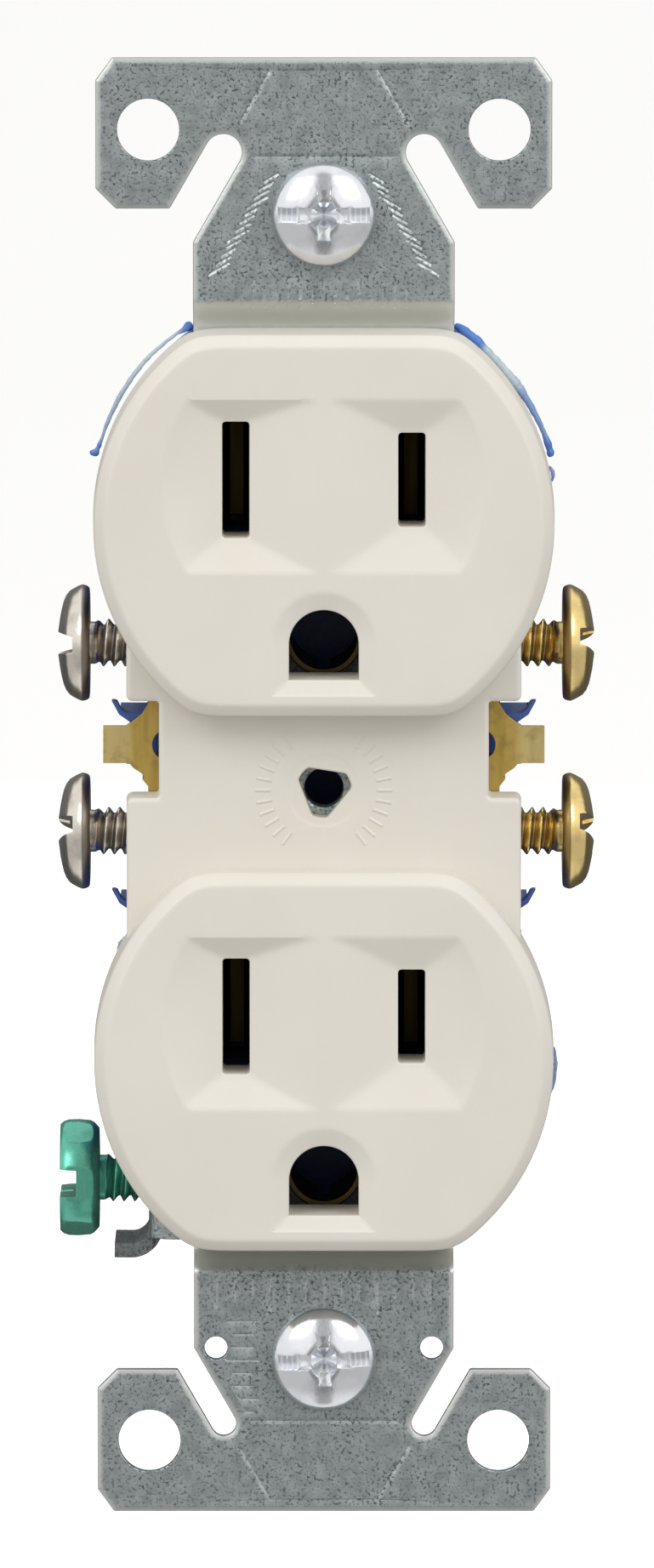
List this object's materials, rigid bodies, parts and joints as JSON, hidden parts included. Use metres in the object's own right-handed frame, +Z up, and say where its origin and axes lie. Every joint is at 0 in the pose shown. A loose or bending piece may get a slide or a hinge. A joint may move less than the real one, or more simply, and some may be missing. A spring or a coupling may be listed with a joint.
{
  "type": "duplex wall outlet",
  "caption": "Duplex wall outlet with moulded faces, steel mounting strap with break-off ears, side terminal screws and push-in wiring holes.",
  "frame": {"origin": "centre of the four ear holes, on the strap's front plane", "axes": "+X to the right seen from the front, +Y into the wall, +Z up as installed"},
  "size_m": [0.0392, 0.031, 0.1058],
  "materials": {
    "ivory_cover": "satin moulded thermoplastic, light almond",
    "blue_body": "moulded thermoplastic, blue",
    "galvanised_strap": "galvanised with fine dark spangle",
    "contact_brass": "stamped, slightly tarnished",
    "screw_brass": "bright plated",
    "screw_nickel": "nickel plated",
    "ground_green": "green dichromate, glossy",
    "zinc_plate": "bright zinc plate",
    "fibre": "vulcanised fibre",
    "spring_steel": "bright rolled"
  },
  "bodies": {
    "housing": {"front_cover": "ivory_cover", "rear_body": "blue_body", "mounting_strap": "galvanised_strap", "hot_contact_strip": "contact_brass", "neutral_contact_strip": "contact_brass", "upper_ground_contact": "contact_brass", "lower_ground_contact": "contact_brass", "ground_contact_rivets": "zinc_plate"},
    "upper_hot_screw": {"upper_hot_screw": "screw_brass"},
    "upper_neutral_screw": {"upper_neutral_screw": "screw_nickel"},
    "lower_hot_screw": {"lower_hot_screw": "screw_brass"},
    "lower_neutral_screw": {"lower_neutral_screw": "screw_nickel"},
    "ground_screw": {"ground_screw": "ground_green"},
    "upper_retaining_washer": {"upper_retaining_washer": "fibre"},
    "upper_mounting_screw": {"upper_mounting_screw": "zinc_plate"},
    "lower_retaining_washer": {"lower_retaining_washer": "fibre"},
    "lower_mounting_screw": {"lower_mounting_screw": "zinc_plate"},
    "upper_hot_wire_clip": {"upper_hot_wire_clip": "spring_steel"},
    "upper_neutral_wire_clip": {"upper_neutral_wire_clip": "spring_steel"},
    "lower_hot_wire_clip": {"lower_hot_wire_clip": "spring_steel"},
    "lower_neutral_wire_clip": {"lower_neutral_wire_clip": "spring_steel"}
  },
  "joints": [
    {"name": "upper_hot_screw_drive", "type": "slide", "parent": "housing", "child": "upper_hot_screw", "axis": [-1, 0, 0], "range_m": [0, 0.0041]},
    {"name": "upper_neutral_screw_drive", "type": "slide", "parent": "housing", "child": "upper_neutral_screw", "axis": [1, 0, 0], "range_m": [0, 0.0038]},
    {"name": "lower_hot_screw_drive", "type": "slide", "parent": "housing", "child": "lower_hot_screw", "axis": [-1, 0, 0], "range_m": [0, 0.0041]},
    {"name": "lower_neutral_screw_drive", "type": "slide", "parent": "housing", "child": "lower_neutral_screw", "axis": [1, 0, 0], "range_m": [0, 0.0038]},
    {"name": "ground_screw_drive", "type": "slide", "parent": "housing", "child": "ground_screw", "axis": [1, 0, 0], "range_m": [0, 0.0035]},
    {"name": "upper_screw_float", "type": "slide", "parent": "housing", "child": "upper_retaining_washer", "axis": [0, -1, 0], "range_m": [0, 0.0015]},
    {"name": "upper_mounting_screw_turn", "type": "hinge", "parent": "upper_retaining_washer", "child": "upper_mounting_screw", "pos_m": [0, 0, 0.04167], "axis": [0, 1, 0], "continuous": true},
    {"name": "lower_screw_float", "type": "slide", "parent": "housing", "child": "lower_retaining_washer", "axis": [0, -1, 0], "range_m": [0, 0.0015]},
    {"name": "lower_mounting_screw_turn", "type": "hinge", "parent": "lower_retaining_washer", "child": "lower_mounting_screw", "pos_m": [0, 0, -0.04167], "axis": [0, 1, 0], "continuous": true},
    {"name": "upper_hot_wire_clip_flex", "type": "hinge", "parent": "housing", "child": "upper_hot_wire_clip", "pos_m": [0.00855, 0.013, 0.01305], "axis": [0, 0, -1], "range_deg": [0, 20], "stiffness_Nm_per_rad": 0.002},
    {"name": "upper_neutral_wire_clip_flex", "type": "hinge", "parent": "housing", "child": "upper_neutral_wire_clip", "pos_m": [-0.00855, 0.013, 0.01305], "axis": [0, 0, 1], "range_deg": [0, 20], "stiffness_Nm_per_rad": 0.002},
    {"name": "lower_hot_wire_clip_flex", "type": "hinge", "parent": "housing", "child": "lower_hot_wire_clip", "pos_m": [0.00855, 0.013, -0.00075], "axis": [0, 0, -1], "range_deg": [0, 20], "stiffness_Nm_per_rad": 0.002},
    {"name": "lower_neutral_wire_clip_flex", "type": "hinge", "parent": "housing", "child": "lower_neutral_wire_clip", "pos_m": [-0.00855, 0.013, -0.00075], "axis": [0, 0, 1], "range_deg": [0, 20], "stiffness_Nm_per_rad": 0.002}
  ]
}
